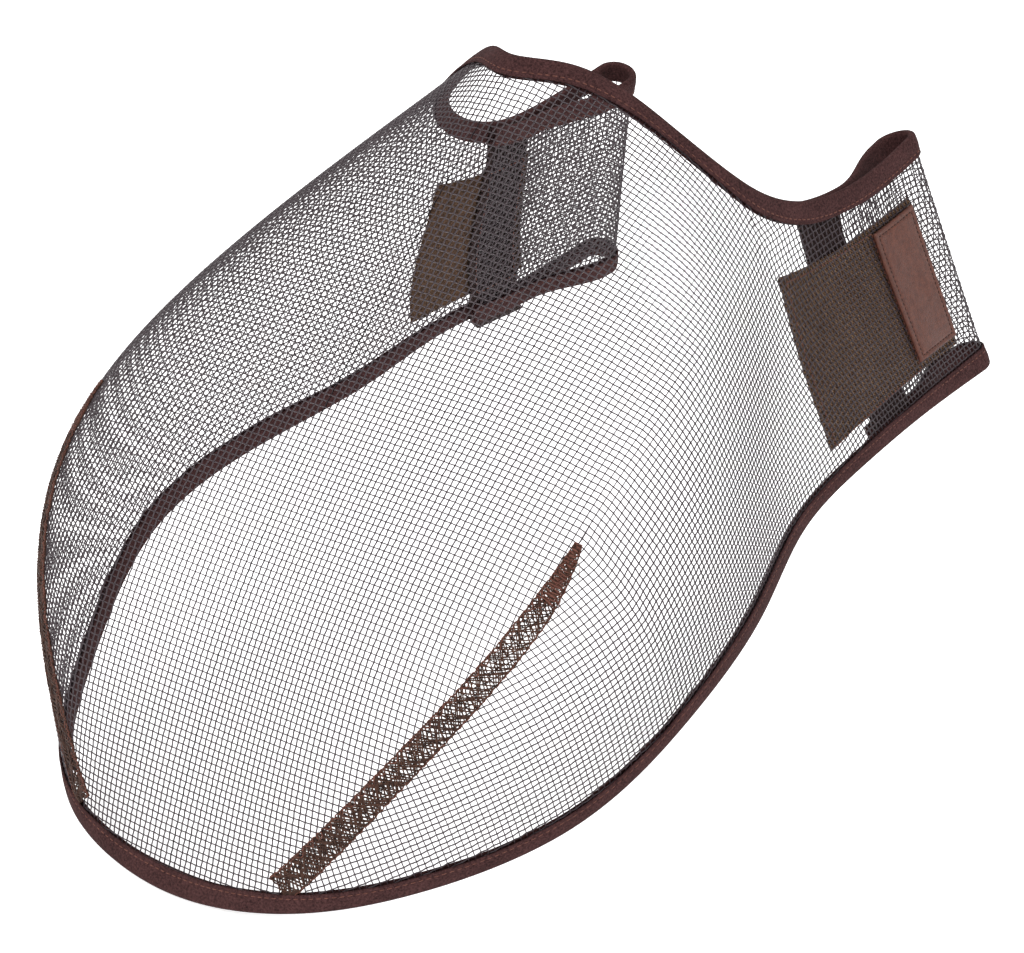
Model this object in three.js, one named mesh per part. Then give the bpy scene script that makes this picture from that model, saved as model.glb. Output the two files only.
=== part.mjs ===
import * as THREE from 'three';
import { mergeVertices } from 'three/addons/utils/BufferGeometryUtils.js';

// Earless fly mask that straps onto a bridle, as it sits on a horse facing -Y.
// Millimetres, +Z up, +X is the horse's left.
//
// The mask is one net cloth. Its own coordinates are g, across the face, and v, from the
// upper edge (0) to the lower edge (1). g is 0 on the midline of the face and 9 where a
// side band starts to fold inward; 9 to 11 is the half-round fold and 11 to 12 is the flap
// that comes back forward on the inside. Negative g is the horse's right.

// Cloth
const netThickness = 0.8;
const gap = 0.3;
const netInset = 1.9;

// Binding tape, folded over both long edges of the cloth
const tapeWidth = 10;
const tapeThickness = 0.8;
const tapeGap = 0.4;
const tapeBend = netThickness / 2 + tapeGap + tapeThickness / 2;
const tapeOutside = tapeBend + tapeThickness / 2;
const stitchInset = 8;
const threadWidth = 0.6;
const threadThickness = 0.5;

// Folded band, closed around a bridle cheekpiece
const foldRadius = 8;
const foldGap = 0.04;
const bandGap = 0.005;
const foldStartGap = 0.014;
const flapLength = 86;
const flapDepth = 5.3;
const bandStart = 9;

// Hook and loop closure
const hookWidth = 30;
const hookThickness = 1.6;
const hookOverhang = 6;
const leftLoopRear = 11;
const rightLoopRear = 50;
const loopFront = 122;
const loopTop = 0.2;
const loopBottom = 0.84;
const loopThickness = 1.6;
const hemInset = 4;

// Leather label on the left band
const labelRear = 14;
const labelFront = 44;
const labelTop = 0.2;
const labelBottom = 0.79;
const labelThickness = 1.6;
const labelStitchInset = 2.5;

// Eye darts, where the lower edge is taken in over each eye
const dartBottomWidth = 13;
const dartTopWidth = 4;
const dartThickness = 0.9;
const dartStitches = 22;

// Control lines of the left half, brow to nose, one column per station from the midline
// back to the fold. The lines bulge over the eye between the two edges.
const browEdge = [
  [0, -20, 193], [20, -2, 192], [40, 9, 180], [56, 16, 167], [68, 22, 157],
  [78, 31, 146], [84, 48, 133], [86, 78, 123], [88, 115, 126], [85, 150, 135],
];
const eyeLine = [
  [0, -106, 105], [68, -104, 103], [116, -90, 97], [136, -58, 90], [126, -20, 84],
  [113, 10, 82], [103, 34, 82], [97, 64, 84], [97, 110, 90], [95, 158, 99],
];
const cheekLine = [
  [0, -190, 8], [90, -214, 7], [139, -190, 17], [162, -143, 25], [160, -93, 27],
  [146, -47, 28], [130, -6, 35], [117, 38, 43], [110, 100, 54], [105, 167, 62],
];
const noseEdge = [
  [0, -235, -106], [55, -229, -97], [94, -201, -88], [136, -138, -71], [152, -90, -33],
  [143, -27, -14], [120, 24, 3], [122, 74, 17], [114, 130, 20], [115, 175, 26],
];
const controlRows = [browEdge, eyeLine, cheekLine, noseEdge];

// Where each dart runs on the cloth, from the nose edge up to its tip under the eye
const dartLine = [[1.05, 0.948], [1.27, 0.89], [1.63, 0.77], [2.0, 0.65], [2.24, 0.52]];

const netMaterial = new THREE.MeshStandardMaterial({ color: 0x4a3a3c, roughness: 0.8, metalness: 0 });
const tapeMaterial = new THREE.MeshStandardMaterial({ color: 0x3d2626, roughness: 0.9, metalness: 0 });
const threadMaterial = new THREE.MeshStandardMaterial({ color: 0x6b4740, roughness: 0.8, metalness: 0 });
const loopMaterial = new THREE.MeshStandardMaterial({ color: 0x4f3c33, roughness: 1, metalness: 0 });
const hookMaterial = new THREE.MeshStandardMaterial({ color: 0x2c1d1d, roughness: 0.7, metalness: 0 });
const leatherMaterial = new THREE.MeshStandardMaterial({ color: 0x5a342b, roughness: 0.55, metalness: 0 });

const lastStation = browEdge.length - 1;
const lastRow = controlRows.length - 1;

// A control point, continued in a straight line past the edges and mirrored past the midline
function control(row, station) {
  if (row < 0) return control(0, station).multiplyScalar(2).sub(control(1, station));
  if (row > lastRow) return control(lastRow, station).multiplyScalar(2).sub(control(lastRow - 1, station));
  if (station < 0) return control(row, -station).multiply(new THREE.Vector3(-1, 1, 1));
  if (station > lastStation) {
    return control(row, lastStation).multiplyScalar(2).sub(control(row, lastStation - 1));
  }
  return new THREE.Vector3(...controlRows[row][station]);
}

// Weights of four neighbouring control points on a uniform cubic spline
function splineWeights(x, last) {
  const first = Math.min(Math.floor(x), last - 1);
  const f = x - first;
  const weights = [(1 - f) ** 3, 3 * f ** 3 - 6 * f * f + 4, -3 * f ** 3 + 3 * f * f + 3 * f + 1, f ** 3];
  return { first, weights: weights.map((weight) => weight / 6) };
}

// Middle of the open cloth, left half, for stations 0 to 9
function clothMiddle(station, v) {
  const inside = THREE.MathUtils.clamp(v, 0, 1);
  const across = splineWeights(THREE.MathUtils.clamp(station, 0, lastStation), lastStation);
  const down = splineWeights(inside * lastRow, lastRow);
  const point = new THREE.Vector3();
  for (let i = 0; i < 4; i += 1) {
    for (let j = 0; j < 4; j += 1) {
      const weight = across.weights[i] * down.weights[j];
      point.addScaledVector(control(down.first + j - 1, across.first + i - 1), weight);
    }
  }
  if (v !== inside) {
    const step = 0.001;
    const inner = clothMiddle(station, inside + (v < 0 ? step : -step));
    point.addScaledVector(point.clone().sub(inner), Math.abs(v - inside) / step);
  }
  return point;
}

// Outward, downward and rearward directions of the open cloth at a point
function clothFrame(station, v) {
  const step = 0.01;
  const low = THREE.MathUtils.clamp(v - step, 0, 1 - step);
  const high = THREE.MathUtils.clamp(v + step, step, 1);
  const near = Math.max(station - step, 0);
  const far = Math.min(station + step, lastStation);
  const down = clothMiddle(station, high).sub(clothMiddle(station, low)).normalize();
  const across = clothMiddle(far, v).sub(clothMiddle(near, v)).normalize();
  const outward = down.clone().cross(across).normalize();
  const rearward = outward.clone().cross(down).normalize();
  return { outward, down, rearward };
}

// Length of cloth per station, measured over the last two stations of the band
function stationLength(v) {
  const inside = THREE.MathUtils.clamp(v, 0, 1);
  const middle = clothMiddle(lastStation - 1, inside);
  const start = clothMiddle(lastStation - 2, inside);
  return (clothMiddle(lastStation, inside).distanceTo(middle) + middle.distanceTo(start)) / 2;
}

// Station of a point that lies a distance in front of the fold
function stationBefore(distance, v) {
  return lastStation - distance / stationLength(v);
}

// How far the flap lies inside the band: round the cheekpiece, then down onto the closure
function flapOffset(distance) {
  const closing = THREE.MathUtils.smoothstep(distance, 6, 50);
  return THREE.MathUtils.lerp(2 * foldRadius, flapDepth, closing);
}

// Any point of the cloth: t is the height above its middle, on the side that faces out
function clothPoint(g, v, t) {
  const station = Math.abs(g);
  let point;
  if (station <= bandStart) {
    point = clothMiddle(station, v).addScaledVector(clothFrame(station, v).outward, t);
  } else if (station <= bandStart + 2) {
    const angle = (station - bandStart) * Math.PI / 2;
    const { outward, rearward } = clothFrame(lastStation, v);
    point = clothMiddle(lastStation, v).addScaledVector(outward, -foldRadius);
    point.addScaledVector(outward, Math.cos(angle) * (foldRadius + t));
    point.addScaledVector(rearward, Math.sin(angle) * (foldRadius + t));
  } else {
    const distance = (station - bandStart - 2) * flapLength;
    const under = stationBefore(distance, v);
    const { outward } = clothFrame(under, v);
    point = clothMiddle(under, v).addScaledVector(outward, -flapOffset(distance) - t);
  }
  if (g < 0) point.x = -point.x;
  return point;
}

// Height of the cloth along a station, from the slope at one of its edges
function edgeSlope(g, edge) {
  const step = edge > 0.5 ? -0.01 : 0.01;
  return clothPoint(g, edge, 0).distanceTo(clothPoint(g, edge + step, 0)) / 0.01;
}

// A point w millimetres in from the upper (edge 0) or lower (edge 1) edge
function edgePoint(g, edge, w, t) {
  const v = w / edgeSlope(g, edge);
  return clothPoint(g, edge > 0.5 ? 1 - v : v, t);
}

// Turns a shape so that every face looks out
function facedOut(geometry) {
  const position = geometry.getAttribute('position');
  const index = geometry.getIndex();
  const corner = [new THREE.Vector3(), new THREE.Vector3(), new THREE.Vector3()];
  let volume = 0;
  for (let i = 0; i < index.count; i += 3) {
    corner.forEach((c, k) => c.fromBufferAttribute(position, index.getX(i + k)));
    volume += corner[0].dot(corner[1].clone().cross(corner[2]));
  }
  if (volume < 0) {
    for (let i = 0; i < index.count; i += 3) {
      const second = index.getX(i + 1);
      index.setX(i + 1, index.getX(i + 2));
      index.setX(i + 2, second);
    }
  }
  geometry.computeVertexNormals();
  return geometry;
}

// A closed strip: a box grid carried through place(a, b, c), each from 0 to 1
function bentStrip(lengthSteps, widthSteps, place) {
  const box = new THREE.BoxGeometry(1, 1, 1, lengthSteps, widthSteps, 1);
  box.deleteAttribute('uv');
  box.deleteAttribute('normal');
  const strip = mergeVertices(box, 1e-5);
  const position = strip.getAttribute('position');
  for (let i = 0; i < position.count; i += 1) {
    const a = position.getX(i) + 0.5;
    const b = position.getY(i) + 0.5;
    const c = position.getZ(i) + 0.5;
    position.setXYZ(i, ...place(a, b, c).toArray());
  }
  return facedOut(strip);
}

// A closed ring of thread: place(f, w, t) gives the point at fraction f of the way round
function threadRing(steps, place) {
  const torus = new THREE.TorusGeometry(10, 1, 4, steps);
  const uv = torus.getAttribute('uv');
  const position = torus.getAttribute('position');
  for (let i = 0; i < position.count; i += 1) {
    const turn = (uv.getY(i) + 0.125) * 2 * Math.PI;
    const w = Math.cos(turn) * threadWidth * Math.SQRT1_2;
    const t = Math.sin(turn) * threadThickness * Math.SQRT1_2;
    position.setXYZ(i, ...place(uv.getX(i) % 1, w, t).toArray());
  }
  torus.deleteAttribute('uv');
  torus.deleteAttribute('normal');
  return facedOut(mergeVertices(torus, 1e-4));
}

// Corner-to-corner walk round a rectangle whose sides stand off by w
function rectangleWalk(f, left, right, low, high, w) {
  const side = Math.floor(f * 4);
  const along = f * 4 - side;
  const x = [left - w, right + w];
  const y = [low - w, high + w];
  if (side === 0) return [THREE.MathUtils.lerp(x[0], x[1], along), y[0]];
  if (side === 1) return [x[1], THREE.MathUtils.lerp(y[0], y[1], along)];
  if (side === 2) return [THREE.MathUtils.lerp(x[1], x[0], along), y[1]];
  return [x[0], THREE.MathUtils.lerp(y[1], y[0], along)];
}

// Cross-section of the folded tape: s runs from one free edge, round the fold, to the other
function tapeProfile(s, t) {
  const straight = tapeWidth - tapeOutside;
  const bends = [0, 1, 1, 1, 1, 2];
  const step = Math.round(s * 5);
  const angle = THREE.MathUtils.clamp((step - 1) / 3, 0, 1) * Math.PI;
  const radius = tapeBend + t;
  const free = bends[step] === 1 ? 0 : straight;
  return { w: tapeOutside + free - Math.sin(angle) * radius, height: Math.cos(angle) * radius };
}

function bindingTape(from, to, edge, steps) {
  return bentStrip(steps, 5, (a, b, c) => {
    const { w, height } = tapeProfile(b, (c - 0.5) * tapeThickness);
    return edgePoint(THREE.MathUtils.lerp(from, to, a), edge, w, height);
  });
}

function edgeThread(from, to, edge, steps) {
  return bentStrip(steps, 1, (a, b, c) => {
    const w = stitchInset + (b - 0.5) * threadWidth;
    const t = tapeOutside + gap + c * threadThickness;
    return edgePoint(THREE.MathUtils.lerp(from, to, a), edge, w, t);
  });
}

// The outermost row of the net on each side lies inside the folded tape
function netSheet(from, to, lengthSteps, widthSteps) {
  return bentStrip(lengthSteps, widthSteps, (a, b, c) => {
    const g = THREE.MathUtils.lerp(from, to, a);
    const row = Math.round(b * widthSteps);
    const open = THREE.MathUtils.clamp((row - 1) / (widthSteps - 2), 0, 1);
    const inTape = row === 0 || row === widthSteps;
    const inset = inTape ? netInset : tapeWidth + 0.4;
    const top = inset / edgeSlope(g, 0);
    const bottom = 1 - inset / edgeSlope(g, 1);
    return clothPoint(g, THREE.MathUtils.lerp(top, bottom, open), (c - 0.5) * netThickness);
  });
}

// A rectangle on the band, measured forward from the fold and down from the upper edge
function bandPatch(rear, front, top, bottom, inner, outer, lengthSteps, widthSteps) {
  return bentStrip(lengthSteps, widthSteps, (a, b, c) => {
    const v = THREE.MathUtils.lerp(top, bottom, b);
    const station = stationBefore(THREE.MathUtils.lerp(rear, front, a), v);
    return clothPoint(station, v, THREE.MathUtils.lerp(inner, outer, c));
  });
}

// A ring of thread inside the outline of such a rectangle
function bandThread(rear, front, top, bottom, inset, height, steps) {
  const bandHeight = clothPoint(lastStation, 0, 0).distanceTo(clothPoint(lastStation, 1, 0));
  return threadRing(steps, (f, w, t) => {
    const [distance, down] = rectangleWalk(
      f, rear + inset, front - inset, top * bandHeight + inset, bottom * bandHeight - inset, w,
    );
    const v = down / bandHeight;
    return clothPoint(stationBefore(distance, v), v, height + t);
  });
}

// Point beside the dart line: w millimetres to its side, t above the cloth
const dartCurve = new THREE.CatmullRomCurve3(dartLine.map(([g, v]) => new THREE.Vector3(g, v, 0)));
function dartPoint(f, w, t) {
  const step = 0.002;
  const at = dartCurve.getPoint(f);
  const tangent = dartCurve.getTangent(f);
  const centre = clothMiddle(at.x, at.y);
  const acrossStation = clothMiddle(at.x + step, at.y).sub(centre).divideScalar(step);
  const downCloth = clothMiddle(at.x, at.y - step).sub(centre).divideScalar(-step);
  const along = acrossStation.clone().multiplyScalar(tangent.x).addScaledVector(downCloth, tangent.y);
  const side = clothFrame(at.x, at.y).outward.cross(along).normalize().multiplyScalar(w);
  const aa = acrossStation.dot(acrossStation);
  const ab = acrossStation.dot(downCloth);
  const bb = downCloth.dot(downCloth);
  const sa = side.dot(acrossStation);
  const sb = side.dot(downCloth);
  const det = aa * bb - ab * ab;
  return clothPoint(at.x + (sa * bb - sb * ab) / det, at.y + (sb * aa - sa * ab) / det, t);
}

function dartHalfWidth(f) {
  return THREE.MathUtils.lerp(dartBottomWidth, dartTopWidth, f) / 2;
}

const dartStart = 0;
const dartBase = netThickness / 2 + gap;
function eyeDart() {
  return bentStrip(16, 2, (a, b, c) => {
    const f = THREE.MathUtils.lerp(dartStart, 1, a);
    return dartPoint(f, (2 * b - 1) * dartHalfWidth(f), dartBase + c * dartThickness);
  });
}

function dartThread() {
  return bentStrip(dartStitches, 1, (a, b, c) => {
    const f = THREE.MathUtils.lerp(dartStart + 0.02, 0.98, a);
    const swing = Math.round(a * dartStitches) % 2 === 0 ? -0.6 : 0.6;
    const w = swing * dartHalfWidth(f) + (b - 0.5) * threadWidth * 1.6;
    return dartPoint(f, w, dartBase + dartThickness + gap + c * threadThickness);
  });
}

// The hook strip lies on the flap and steps over the binding at both ends
const hookRear = bandStart + 3 - hookWidth / flapLength;
const flapEnd = bandStart + 3;
function hookStrip() {
  return bentStrip(4, 16, (a, b, c) => {
    const g = THREE.MathUtils.lerp(hookRear, flapEnd - 0.005, a);
    const topSlope = edgeSlope(g, 0);
    const bottomSlope = edgeSlope(g, 1);
    const v = THREE.MathUtils.lerp(1 / topSlope, 1 + hookOverhang / bottomSlope, b);
    const fromEdge = Math.min(v * topSlope, (1 - v) * bottomSlope);
    const overTape = 1 - THREE.MathUtils.smoothstep(fromEdge, tapeWidth + 0.5, tapeWidth + 8);
    const base = THREE.MathUtils.lerp(netThickness / 2, tapeOutside, overTape) + gap;
    return clothPoint(g, v, -base - c * hookThickness);
  });
}

function hookThread() {
  return threadRing(16, (f, w, t) => {
    const rear = hookRear + 3 / flapLength;
    const [g, v] = rectangleWalk(f, rear, flapEnd - 3.5 / flapLength, 0.18, 0.82, 0);
    const widen = [w / flapLength, w / 116];
    const side = Math.floor(f * 4);
    const outG = side === 0 || side === 2 ? 0 : widen[0] * (side === 1 ? 1 : -1);
    const outV = side === 0 || side === 2 ? widen[1] * (side === 0 ? -1 : 1) : 0;
    const corner = Math.abs(f * 4 - Math.round(f * 4)) < 1e-6;
    const cornerG = corner ? widen[0] * (side === 1 || side === 2 ? 1 : -1) : outG;
    const cornerV = corner ? widen[1] * (side === 2 || side === 3 ? 1 : -1) : outV;
    return clothPoint(g + cornerG, v + cornerV, netThickness / 2 + gap + threadThickness / 2 + t);
  });
}

function mirrored(geometry) {
  const copy = geometry.clone();
  copy.scale(-1, 1, 1);
  return facedOut(copy);
}

const mask = new THREE.Group();
mask.name = 'fly_mask';

function add(name, geometry, material) {
  const mesh = new THREE.Mesh(geometry, material);
  mesh.name = name;
  mask.add(mesh);
}

function addPair(name, geometry, material) {
  add(`left_${name}`, geometry, material);
  add(`right_${name}`, mirrored(geometry), material);
}

// Open cloth and its binding, from one fold to the other
const openEnd = bandStart - bandGap;
add('net_body', netSheet(-openEnd, openEnd, 56, 9), netMaterial);
add('brow_binding', bindingTape(-openEnd, openEnd, 0, 56), tapeMaterial);
add('nose_binding', bindingTape(-openEnd, openEnd, 1, 56), tapeMaterial);

// Outer half of each fold
const foldStart = bandStart + foldStartGap;
const foldEnd = bandStart + 1 - foldGap;
addPair('fold_net', netSheet(foldStart, foldEnd, 4, 6), netMaterial);
addPair('fold_top_binding', bindingTape(foldStart, foldEnd, 0, 4), tapeMaterial);
addPair('fold_bottom_binding', bindingTape(foldStart, foldEnd, 1, 4), tapeMaterial);
addPair('fold_top_stitch', edgeThread(foldStart, foldEnd, 0, 4), threadMaterial);
addPair('fold_bottom_stitch', edgeThread(foldStart, foldEnd, 1, 4), threadMaterial);
add('brow_binding_stitch', edgeThread(-openEnd, openEnd, 0, 56), threadMaterial);
add('nose_binding_stitch', edgeThread(-openEnd, openEnd, 1, 56), threadMaterial);

// Eye darts
addPair('eye_dart', eyeDart(), netMaterial);
addPair('dart_stitch', dartThread(), threadMaterial);

// Loop patches on the inside of the bands; the left one also backs the label
const loopInner = -netThickness / 2 - gap;
const patchThreadHeight = netThickness / 2 + gap + threadThickness / 2;
function loopPatch(rear, steps) {
  return bandPatch(rear, loopFront, loopTop, loopBottom, loopInner - loopThickness, loopInner, steps, 6);
}
function patchThread(rear) {
  return bandThread(rear, loopFront, loopTop, loopBottom, hemInset, patchThreadHeight, 32);
}
add('left_loop_patch', loopPatch(leftLoopRear, 12), loopMaterial);
add('right_loop_patch', mirrored(loopPatch(rightLoopRear, 8)), loopMaterial);
add('left_patch_stitch', patchThread(labelFront - 2), threadMaterial);
add('right_patch_stitch', mirrored(patchThread(rightLoopRear)), threadMaterial);

// Leather label, outside of the left band only
const labelBase = netThickness / 2 + gap;
add(
  'leather_label',
  bandPatch(labelRear, labelFront, labelTop, labelBottom, labelBase, labelBase + labelThickness, 5, 6),
  leatherMaterial,
);
const labelThreadHeight = labelBase + labelThickness + gap + threadThickness / 2;
add(
  'label_stitch',
  bandThread(labelRear, labelFront, labelTop, labelBottom, labelStitchInset, labelThreadHeight, 24),
  threadMaterial,
);

// Flaps that fold back on the inside
const flapStart = bandStart + 1 + foldGap;
const flapNetEnd = flapEnd - 0.03;
addPair('flap_net', netSheet(flapStart, flapNetEnd, 14, 6), netMaterial);
addPair('flap_top_binding', bindingTape(flapStart, flapEnd, 0, 14), tapeMaterial);
addPair('flap_bottom_binding', bindingTape(flapStart, flapEnd, 1, 14), tapeMaterial);
addPair('flap_top_stitch', edgeThread(flapStart, flapEnd, 0, 14), threadMaterial);
addPair('flap_bottom_stitch', edgeThread(flapStart, flapEnd, 1, 14), threadMaterial);
addPair('hook_strip', hookStrip(), hookMaterial);
addPair('hook_stitch', hookThread(), threadMaterial);

export default mask;
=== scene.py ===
import math
import re
import bpy
import numpy as np
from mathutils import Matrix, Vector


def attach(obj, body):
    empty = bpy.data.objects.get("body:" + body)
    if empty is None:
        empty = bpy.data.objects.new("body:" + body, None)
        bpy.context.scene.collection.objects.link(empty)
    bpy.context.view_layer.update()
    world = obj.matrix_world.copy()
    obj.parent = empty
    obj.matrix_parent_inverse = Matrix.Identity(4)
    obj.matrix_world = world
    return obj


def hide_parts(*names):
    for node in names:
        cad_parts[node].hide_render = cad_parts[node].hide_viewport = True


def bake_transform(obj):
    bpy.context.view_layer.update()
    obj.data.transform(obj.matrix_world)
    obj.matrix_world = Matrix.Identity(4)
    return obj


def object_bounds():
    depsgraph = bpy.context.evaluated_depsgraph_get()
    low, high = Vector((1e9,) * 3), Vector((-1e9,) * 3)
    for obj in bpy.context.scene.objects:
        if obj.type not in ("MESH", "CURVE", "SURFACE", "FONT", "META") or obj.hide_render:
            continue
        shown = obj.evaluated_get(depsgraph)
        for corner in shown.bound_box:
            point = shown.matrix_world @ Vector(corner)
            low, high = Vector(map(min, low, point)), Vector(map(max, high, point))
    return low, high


# Earless fly mask for a ridden horse. Shapes are worked out in millimetres, in the frame of
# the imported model, and written into meshes in metres. +X is the horse's left, it faces -Y.

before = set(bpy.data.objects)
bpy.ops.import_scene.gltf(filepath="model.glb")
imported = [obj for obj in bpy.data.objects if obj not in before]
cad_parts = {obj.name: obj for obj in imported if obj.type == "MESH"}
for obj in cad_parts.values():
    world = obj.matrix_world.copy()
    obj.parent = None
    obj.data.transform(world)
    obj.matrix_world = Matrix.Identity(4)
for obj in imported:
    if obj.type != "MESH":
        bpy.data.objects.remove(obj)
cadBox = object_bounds()

cloth = {
    "lines": [  # brow to nose, one point per station from the midline back to the fold
        [(0, -20, 193), (20, -2, 192), (40, 9, 180), (56, 16, 167), (68, 22, 157),
         (78, 31, 146), (84, 48, 133), (86, 78, 123), (88, 115, 126), (85, 150, 135)],
        [(0, -106, 105), (68, -104, 103), (116, -90, 97), (136, -58, 90), (126, -20, 84),
         (113, 10, 82), (103, 34, 82), (97, 64, 84), (97, 110, 90), (95, 158, 99)],
        [(0, -190, 8), (90, -214, 7), (139, -190, 17), (162, -143, 25), (160, -93, 27),
         (146, -47, 28), (130, -6, 35), (117, 38, 43), (110, 100, 54), (105, 167, 62)],
        [(0, -235, -106), (55, -229, -97), (94, -201, -88), (136, -138, -71), (152, -90, -33),
         (143, -27, -14), (120, 24, 3), (122, 74, 17), (114, 130, 20), (115, 175, 26)]],
    "foldRadius": 8.0, "flapLength": 86.0, "flapDepth": 5.3,
    "closeFrom": 6.0, "closeOver": 44.0,
}


def unit(a):  # each vector divided by its length
    return a / np.maximum(np.linalg.norm(a, axis=-1, keepdims=True), 1e-12)


def smooth(x):  # 0 to 1 with level ends: 3x^2 - 2x^3
    x = np.clip(x, 0, 1)
    return x * x * (3 - 2 * x)


def paddedLines():  # control points mirrored past the midline, run on straight past the edges
    p = np.array(cloth["lines"], float)
    p = np.concatenate([p[:, 1:2] * (-1, 1, 1), p, 2 * p[:, -1:] - p[:, -2:-1]], 1)
    return np.concatenate([2 * p[:1] - p[1:2], p, 2 * p[-1:] - p[-2:-1]], 0)


control = paddedLines()


def splineWeights(x, last):  # uniform cubic B-spline weights and their slopes
    k = np.clip(np.floor(x).astype(int), 0, last - 1)
    f = x - k
    value = np.stack([(1 - f)**3, 3*f**3 - 6*f**2 + 4, -3*f**3 + 3*f**2 + 3*f + 1, f**3], -1) / 6
    slope = np.stack([-(1 - f)**2, 3*f**2 - 4*f, -3*f**2 + 2*f + 1, f**2], -1) / 2
    return k, value, slope


def clothPatch(u, v):
    # middle of the cloth and its two slopes: a tensor spline of station u and height v,
    # run on in straight lines past v 0 and 1 and past the last station
    u, v = np.broadcast_arrays(np.asarray(u, float), np.asarray(v, float))
    uIn, vIn = np.clip(u, 0, 9), np.clip(v, 0, 1)
    ku, wu, su = splineWeights(uIn, 9)
    kv, wv, sv = splineWeights(vIn * 3, 3)
    rowsOf, colsOf = kv[..., None] + np.arange(4), ku[..., None] + np.arange(4)
    picked = control[rowsOf[..., :, None], colsOf[..., None, :]]
    mix = lambda a, b: np.einsum("...i,...j,...ijk->...k", a, b, picked)
    p, pu, pv, puv = mix(wv, wu), mix(wv, su), mix(sv * 3, wu), mix(sv * 3, su)
    du, dv = (u - uIn)[..., None], (v - vIn)[..., None]
    return p + du * pu + dv * pv + du * dv * puv, pu + dv * puv, pv + du * puv


def clothFrame(u, v):  # outward, down and rearward unit directions
    _, pu, pv = clothPatch(np.clip(u, 0, 9), np.clip(v, 0, 1))
    down = unit(pv)
    outward = unit(np.cross(down, pu))
    return outward, down, np.cross(outward, down)


def stationLength(v):  # mean length of the last two stations at height v
    ends = [clothPatch(np.full(np.shape(v), s), v)[0] for s in (7.0, 8.0, 9.0)]
    return (np.linalg.norm(ends[2] - ends[1], axis=-1) + np.linalg.norm(ends[1] - ends[0], axis=-1)) / 2


def clothPoint(g, v, t):
    # g 0 to 9 is the open cloth, 9 to 11 a half circle inward, 11 to 12 the flap coming forward
    # on the inside; t is the height on the side that faces out
    g, v, t = np.broadcast_arrays(np.asarray(g, float), np.asarray(v, float), np.asarray(t, float))
    out, _, _ = clothFrame(g, v)
    open_ = clothPatch(np.minimum(g, 9), v)[0] + out * t[..., None]
    outEnd, _, rearEnd = clothFrame(np.full(g.shape, 9.0), v)
    edge = clothPatch(np.full(g.shape, 9.0), v)[0]
    angle = (np.clip(g - 9, 0, 2) * math.pi / 2)[..., None]
    r = cloth["foldRadius"]
    bent = edge - outEnd * r + (r + t)[..., None] * (np.cos(angle) * outEnd + np.sin(angle) * rearEnd)
    distance = np.maximum(g - 11, 0) * cloth["flapLength"]
    under = 9 - distance / stationLength(np.clip(v, 0, 1))
    outUnder, _, _ = clothFrame(under, v)
    offset = 2 * r + (cloth["flapDepth"] - 2 * r) * smooth((distance - cloth["closeFrom"]) / cloth["closeOver"])
    flap = clothPatch(under, v)[0] - outUnder * (offset + t)[..., None]
    return np.where((g <= 9)[..., None], open_, np.where((g <= 11)[..., None], bent, flap))


def edgeHeight(g, edge):  # cloth height per unit of v next to an edge
    inner = edge + (0.01 if edge < 0.5 else -0.01)
    return np.linalg.norm(clothPoint(g, edge, 0) - clothPoint(g, inner, 0), axis=-1) / 0.01


def edgePoint(g, edge, w, t):  # a point w millimetres in from one long edge
    v = w / edgeHeight(g, edge)
    return clothPoint(g, v if edge < 0.5 else 1 - v, t)


def makeMesh(name, points, quads, material, uv=None, flip=False):
    # one object from points in millimetres and corner numbers, unused points left out
    mesh = bpy.data.meshes.new(name)
    used, quads = np.unique(quads, return_inverse=True)
    quads = quads.reshape(-1, 4)
    if flip:
        quads = quads[:, ::-1]
    points = points.reshape(-1, 3)[used] * 0.001
    mesh.vertices.add(len(points))
    mesh.vertices.foreach_set("co", points.astype(np.float32).ravel())
    mesh.loops.add(quads.size)
    mesh.loops.foreach_set("vertex_index", quads.astype(np.int32).ravel())
    mesh.polygons.add(len(quads))
    mesh.polygons.foreach_set("loop_start", np.arange(0, quads.size, 4, dtype=np.int32))
    if uv is not None:
        layer = mesh.uv_layers.new(name="cloth")
        layer.data.foreach_set("uv", uv.reshape(-1, 2)[used][quads.ravel()].astype(np.float32).ravel())
    mesh.update(calc_edges=True)
    mesh.validate()
    mesh.polygons.foreach_set("use_smooth", np.ones(len(mesh.polygons), bool))
    piece = bpy.data.objects.new(name, mesh)
    bpy.context.scene.collection.objects.link(piece)
    mesh.materials.append(material)
    return piece


def gridQuads(rows, cols, closeCols=False):
    # corner numbers of the quads of a rows x cols grid of points
    n = np.arange(rows * cols).reshape(rows, cols)
    right = np.roll(n, -1, 1) if closeCols else n[:, 1:]
    left = n if closeCols else n[:, :-1]
    return np.stack([left[:-1], right[:-1], right[1:], left[1:]], -1).reshape(-1, 4)


def capQuads(ring):  # closes a ring of points with a ladder of quads
    half = len(ring) // 2
    return np.array([[ring[i], ring[i + 1], ring[-2 - i], ring[-1 - i]] for i in range(half - 1)])


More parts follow.
